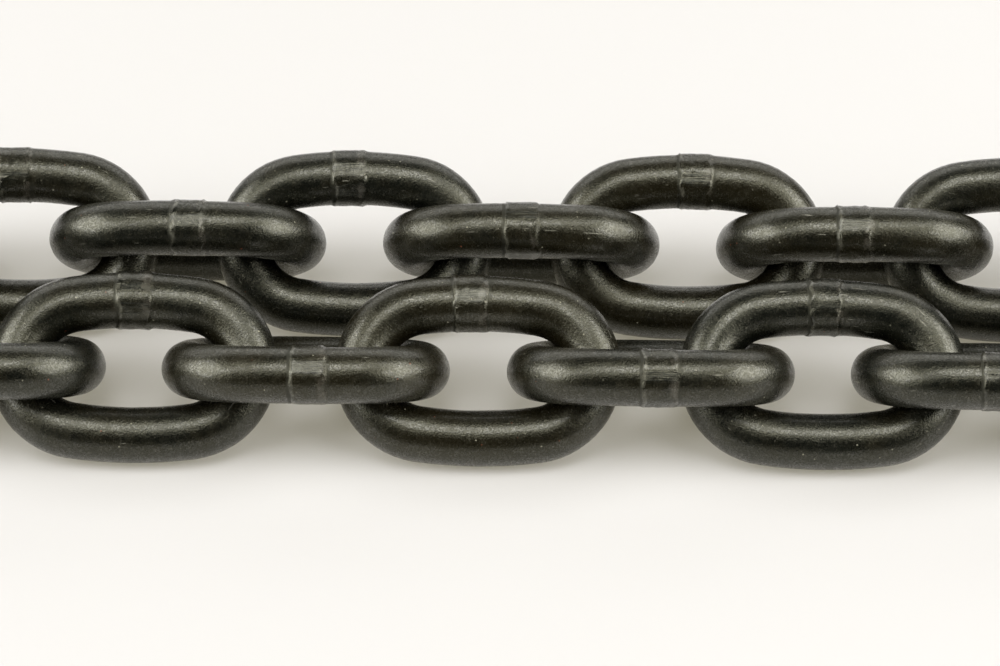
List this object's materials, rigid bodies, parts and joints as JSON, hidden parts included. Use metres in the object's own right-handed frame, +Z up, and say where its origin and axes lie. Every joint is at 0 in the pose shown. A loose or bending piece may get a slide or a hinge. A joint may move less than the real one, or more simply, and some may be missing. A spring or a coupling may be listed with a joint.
{
  "type": "short link lifting chain in straight lengths",
  "caption": "Straight lengths of black round steel short link lifting chain lying side by side, every link welded, ready to be cut or joined into slings and lashings.",
  "frame": {"origin": "on the floor under the middle of the heap", "axes": "+X along the lengths of chain, +Y from the front length to the back one, +Z up"},
  "size_m": [0.992, 0.0944, 0.0457],
  "materials": {
    "blackened_steel": "satin black heat treated and lacquered steel with a slight olive brown cast"
  },
  "bodies": {
    "root": {"front_link_01": "blackened_steel", "front_link_02": "blackened_steel", "front_link_03": "blackened_steel", "front_link_04": "blackened_steel", "front_link_05": "blackened_steel", "front_link_06": "blackened_steel", "front_link_07": "blackened_steel", "front_link_08": "blackened_steel", "front_link_09": "blackened_steel", "front_link_10": "blackened_steel", "front_link_11": "blackened_steel", "front_link_12": "blackened_steel", "front_link_13": "blackened_steel", "front_link_14": "blackened_steel", "front_link_15": "blackened_steel", "front_link_16": "blackened_steel", "front_link_17": "blackened_steel", "front_link_18": "blackened_steel", "front_link_19": "blackened_steel", "front_link_20": "blackened_steel", "back_link_01": "blackened_steel", "back_link_02": "blackened_steel", "back_link_03": "blackened_steel", "back_link_04": "blackened_steel", "back_link_05": "blackened_steel", "back_link_06": "blackened_steel", "back_link_07": "blackened_steel", "back_link_08": "blackened_steel", "back_link_09": "blackened_steel", "back_link_10": "blackened_steel", "back_link_11": "blackened_steel", "back_link_12": "blackened_steel", "back_link_13": "blackened_steel", "back_link_14": "blackened_steel", "back_link_15": "blackened_steel", "back_link_16": "blackened_steel", "back_link_17": "blackened_steel", "back_link_18": "blackened_steel", "back_link_19": "blackened_steel", "back_link_20": "blackened_steel"}
  },
  "joints": []
}
